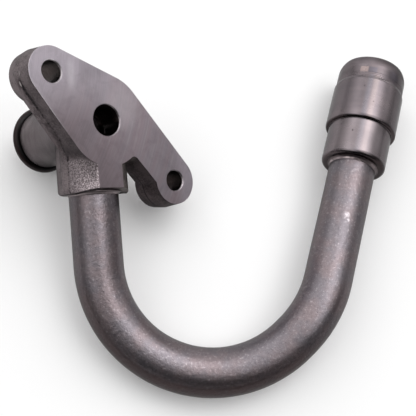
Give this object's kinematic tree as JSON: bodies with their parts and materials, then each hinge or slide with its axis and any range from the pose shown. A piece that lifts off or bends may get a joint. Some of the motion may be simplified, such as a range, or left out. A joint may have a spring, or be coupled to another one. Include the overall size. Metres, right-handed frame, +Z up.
{
  "type": "oil pump discharge tube",
  "caption": "Bent steel oil tube with a forged flange, milled oil port, ringed rear spigot and stepped end fitting.",
  "frame": {"origin": "centre of the bounding box, on the floor plane that the part rests on", "axes": "+Z up, +X along the part's longest horizontal extent, from the flange towards the end fitting"},
  "size_m": [0.1762, 0.1374, 0.0722],
  "materials": {
    "forged_steel": "forged steel with milled and turned faces, satin",
    "tube_steel": "blasted drawn steel tube, satin",
    "turned_steel": "turned steel, fine lines, satin",
    "ring_rubber": "black moulded rubber, slightly glossy",
    "braze": "hardened braze fillet"
  },
  "bodies": {
    "root": {"flange_body": "forged_steel", "discharge_tube": "tube_steel", "end_fitting": "turned_steel", "sealing_ring": "ring_rubber", "neck_braze": "braze", "fitting_braze": "braze"}
  },
  "joints": []
}
